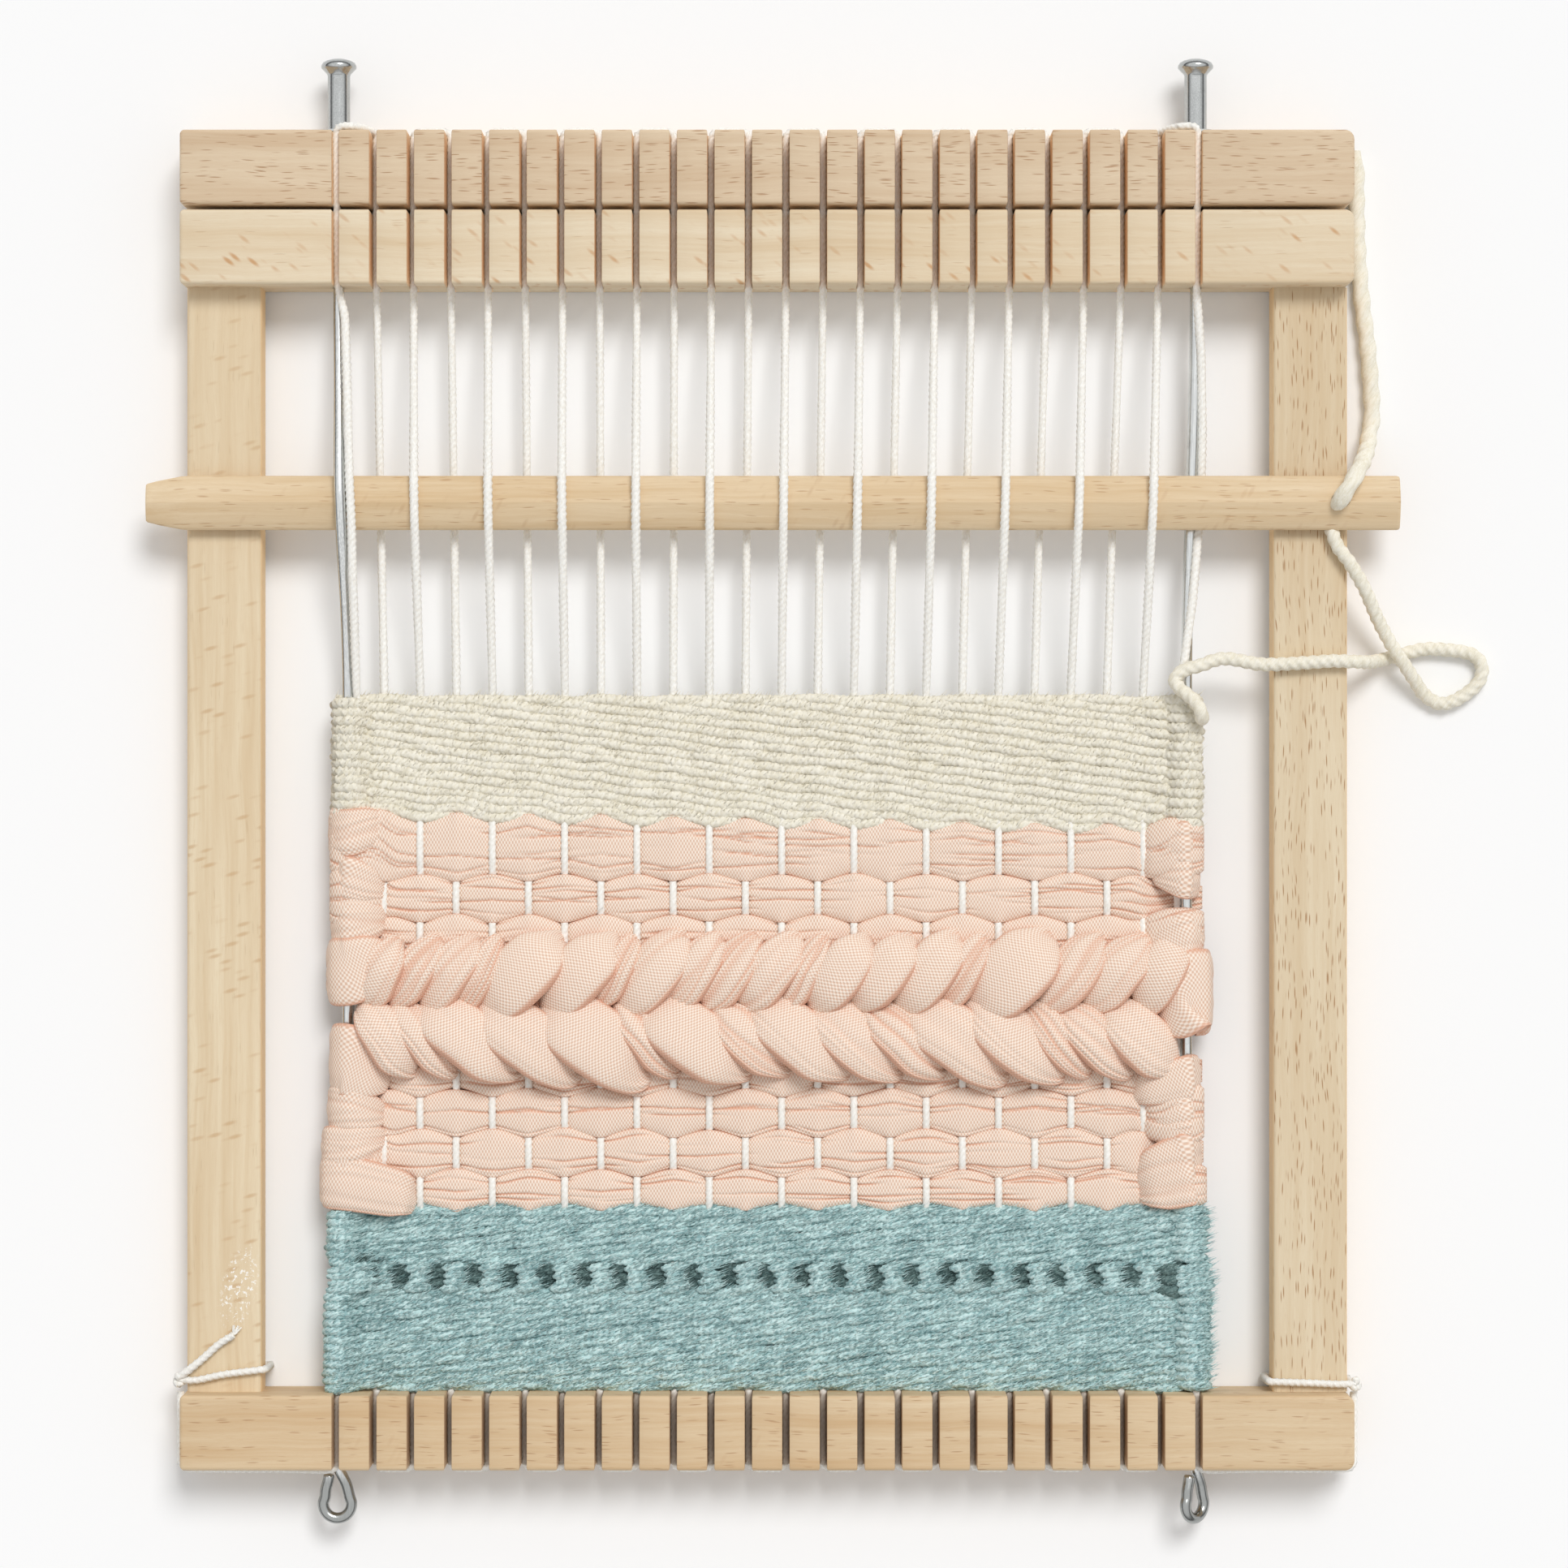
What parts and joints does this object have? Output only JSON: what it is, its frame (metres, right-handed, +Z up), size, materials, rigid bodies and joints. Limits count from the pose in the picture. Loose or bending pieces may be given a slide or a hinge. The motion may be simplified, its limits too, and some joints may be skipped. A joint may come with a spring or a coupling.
{
  "type": "weaving loom",
  "caption": "Small wooden frame loom with a loose slotted top bar, edge rods with sleeve nuts, a warp, a half-woven striped cloth and a flat weaving needle.",
  "frame": {"origin": "centre of the bottom bar's flat back face, on which the loom lies", "axes": "+X along the bars to the weaver's right, +Y from the bottom bar to the top bar, +Z up out of the loom's front"},
  "size_m": [0.3607, 0.3931, 0.0232],
  "materials": {
    "beech_pale": "sanded, unvarnished beech with fine flecks",
    "beech_pink": "sanded, unvarnished beech, a little pinker",
    "steel": "bright drawn and zinc-plated steel",
    "warp_cotton": "hard twisted white cotton",
    "ivory_wool": "soft plied wool",
    "peach_ribbon": "soft knitted ribbon, gathered in folds",
    "teal_wool": "fuzzy two-ply wool",
    "dark_wool": "fuzzy dark grey wool between teal"
  },
  "bodies": {
    "frame": {"bottom_bar": "beech_pale", "fixed_top_bar": "beech_pale", "left_stile": "beech_pale", "right_stile": "beech_pale", "warp_cord": "warp_cotton", "left_warp_tie": "warp_cotton", "right_warp_tie": "warp_cotton", "weft_yarn_loop": "ivory_wool", "ivory_band": "ivory_wool", "ribbon_row_1": "peach_ribbon", "ribbon_row_2": "peach_ribbon", "ribbon_row_3": "peach_ribbon", "soumak_upper": "peach_ribbon", "soumak_lower": "peach_ribbon", "ribbon_row_4": "peach_ribbon", "ribbon_row_5": "peach_ribbon", "ribbon_row_6": "peach_ribbon", "ribbon_row_7": "peach_ribbon", "teal_upper": "teal_wool", "dark_row": "dark_wool", "teal_lower": "teal_wool"},
    "top_bar": {"top_bar": "beech_pink", "left_washer": "steel", "right_washer": "steel"},
    "left_nut": {"left_nut": "steel"},
    "right_nut": {"right_nut": "steel"},
    "left_rod": {"left_rod": "steel"},
    "right_rod": {"right_rod": "steel"},
    "needle": {"weaving_needle": "beech_pale", "weft_yarn_tail": "ivory_wool"}
  },
  "joints": [
    {"name": "top_bar_lift", "type": "slide", "parent": "frame", "child": "top_bar", "axis": [0, 1, 0], "range_m": [-0.001, 0.006], "deforming": ["warp_cord"]},
    {"name": "left_nut_turn", "type": "hinge", "parent": "top_bar", "child": "left_nut", "pos_m": [-0.115, 0.34805, 0.01], "axis": [0, 1, 0], "continuous": true},
    {"name": "right_nut_turn", "type": "hinge", "parent": "top_bar", "child": "right_nut", "pos_m": [0.115, 0.34805, 0.01], "axis": [0, 1, 0], "continuous": true},
    {"name": "left_rod_draw", "type": "slide", "parent": "frame", "child": "left_rod", "axis": [0, -1, 0], "range_m": [0, 0.38]},
    {"name": "right_rod_draw", "type": "slide", "parent": "frame", "child": "right_rod", "axis": [0, -1, 0], "range_m": [0, 0.38]},
    {"name": "needle_slide", "type": "slide", "parent": "frame", "child": "needle", "axis": [1, 0, 0], "range_m": [-0.03, 0.11], "deforming": ["weft_yarn_loop", "weft_yarn_tail"]}
  ]
}
